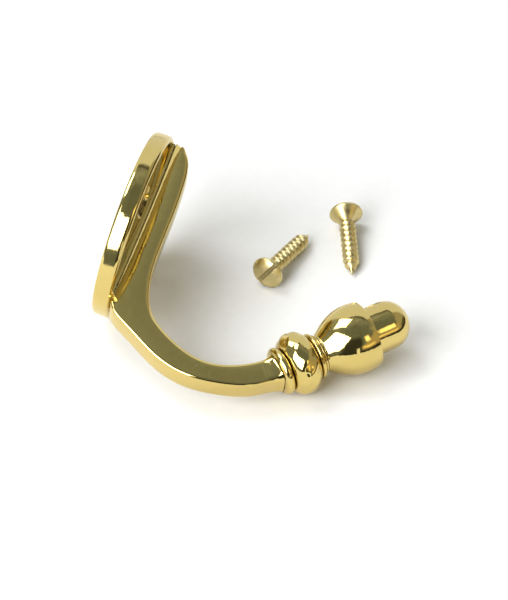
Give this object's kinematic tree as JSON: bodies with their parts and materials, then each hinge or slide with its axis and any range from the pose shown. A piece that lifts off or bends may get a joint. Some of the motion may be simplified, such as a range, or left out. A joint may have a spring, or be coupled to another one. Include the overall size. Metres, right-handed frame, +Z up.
{
  "type": "curtain tieback hook",
  "caption": "Round-rose curtain tieback hook with a J arm, round knop and unscrewing acorn finial, and its loose slotted wood screws.",
  "frame": {"origin": "centre of the round rose's flat back, the face that meets the wall", "axes": "+X straight out of the wall, +Z up along the stem, the crook of the hook at the bottom, +Y to the hook's own left seen from behind the wall; the loose wood screws lie on the +Y side, where the table was"},
  "size_m": [0.0628, 0.042, 0.0616],
  "materials": {
    "polished_brass": "mirror polished and lacquered",
    "screw_brass": "plain turned, satin, slightly dull"
  },
  "bodies": {
    "root": {"backplate": "polished_brass", "hook_arm": "polished_brass", "arm_fixing_screw_upper": "screw_brass", "arm_fixing_screw_lower": "screw_brass", "finial_stud": "screw_brass", "arm_collar": "polished_brass", "turned_knop": "polished_brass", "neck_rings": "polished_brass", "wood_screw_left": "screw_brass", "wood_screw_right": "screw_brass"},
    "cup": {"acorn_cup": "polished_brass"},
    "nut": {"acorn_nut": "polished_brass"}
  },
  "joints": [
    {"name": "cup_slide", "type": "slide", "parent": "root", "child": "cup", "axis": [0.6785, 0, 0.7346], "range_m": [0, 0.0055]},
    {"name": "nut_turn", "type": "hinge", "parent": "cup", "child": "nut", "pos_m": [0.04387, 0, -0.01779], "axis": [0.6785, 0, 0.7346], "range_deg": [0, 3961]}
  ],
  "couplings": [
    {"joint": "nut_turn", "follows": "cup_slide", "rad_per_m": 12566}
  ]
}
